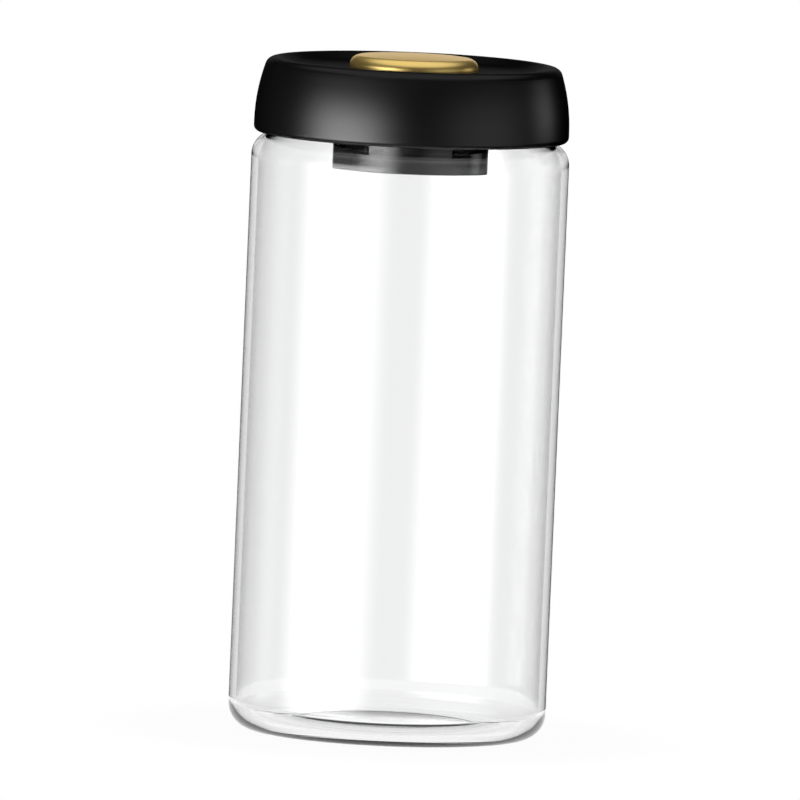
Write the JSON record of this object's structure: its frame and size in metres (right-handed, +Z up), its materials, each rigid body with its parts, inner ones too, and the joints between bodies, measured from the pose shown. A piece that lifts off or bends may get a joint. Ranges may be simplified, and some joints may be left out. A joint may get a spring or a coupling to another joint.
{
  "type": "vacuum seal canister",
  "caption": "Clear glass food canister with a dished black lid; a gold centre button presses to pump air out through a cup below the lid and turns to let it back in.",
  "frame": {"origin": "centre of the foot ring's standing plane", "axes": "+Z up the jar's axis, -Y the front"},
  "size_m": [0.1, 0.1, 0.2144],
  "materials": {
    "glass": "clear, polished",
    "lid_black": "satin black",
    "inner_black": "satin black",
    "cup_smoke": "glossy near-black",
    "gold": "gold-anodised, polished",
    "silicone": "soft, translucent",
    "steel": "bright",
    "mechanism": "natural white"
  },
  "bodies": {
    "jar": {"jar_glass": "glass"},
    "lid": {"lid_shell": "lid_black", "inner_lid": "inner_black", "neck_seal": "silicone", "pump_cylinder": "inner_black", "cylinder_o_ring": "silicone", "cylinder_screws": "steel", "cylinder_cover": "mechanism", "inlet_valve": "silicone", "intake_cup": "cup_smoke", "intake_filter": "inner_black", "return_spring": "steel", "release_spring": "steel"},
    "release_ring": {"release_ring": "mechanism"},
    "button": {"button_cap": "gold", "button_core": "inner_black", "core_screws": "steel", "plunger": "mechanism", "plunger_screw": "steel", "piston": "mechanism", "piston_seal": "silicone", "exhaust_valve": "silicone"},
    "release_valve": {"release_stem": "mechanism", "release_seal": "silicone"}
  },
  "joints": [
    {"name": "lid_lift", "type": "slide", "parent": "jar", "child": "lid", "axis": [0, 0, 1], "range_m": [0, 0.12]},
    {"name": "button_twist", "type": "hinge", "parent": "lid", "child": "release_ring", "pos_m": [0, 0, 0.1987], "axis": [0, 0, 1], "range_deg": [0, 45]},
    {"name": "button_press", "type": "slide", "parent": "release_ring", "child": "button", "axis": [0, 0, 1], "range_m": [-0.0065, 0], "stiffness_N_per_m": 450, "springref_m": 0.006, "deforming": ["return_spring"]},
    {"name": "release_lift", "type": "slide", "parent": "lid", "child": "release_valve", "axis": [0, 0, 1], "range_m": [0, 0.0016], "deforming": ["release_spring"]}
  ],
  "couplings": [
    {"joint": "release_lift", "follows": "button_twist", "m_per_rad": 0.0020372}
  ]
}
